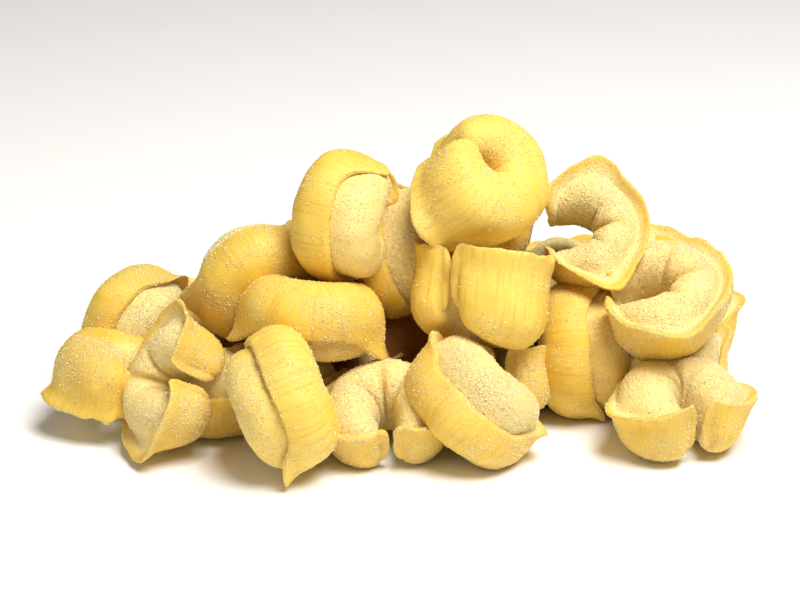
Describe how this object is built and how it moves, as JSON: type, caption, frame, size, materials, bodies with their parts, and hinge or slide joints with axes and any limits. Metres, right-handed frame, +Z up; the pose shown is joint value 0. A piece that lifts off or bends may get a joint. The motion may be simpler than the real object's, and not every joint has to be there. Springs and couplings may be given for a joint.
{
  "type": "tortellini",
  "caption": "Loose heap of fresh filled pasta rings, each a folded half-moon of egg dough wrapped and pinched at its ends, dusted with semolina.",
  "frame": {"origin": "middle of the heap's footprint, on the surface that it lies on", "axes": "+Z up, +X along the heap's long side, the heap's front faces -Y"},
  "size_m": [0.1498, 0.096, 0.0649],
  "materials": {
    "egg_pasta": "matte fresh egg dough, dusted with semolina"
  },
  "bodies": {
    "root": {"tortellini_heap": "egg_pasta"}
  },
  "joints": []
}
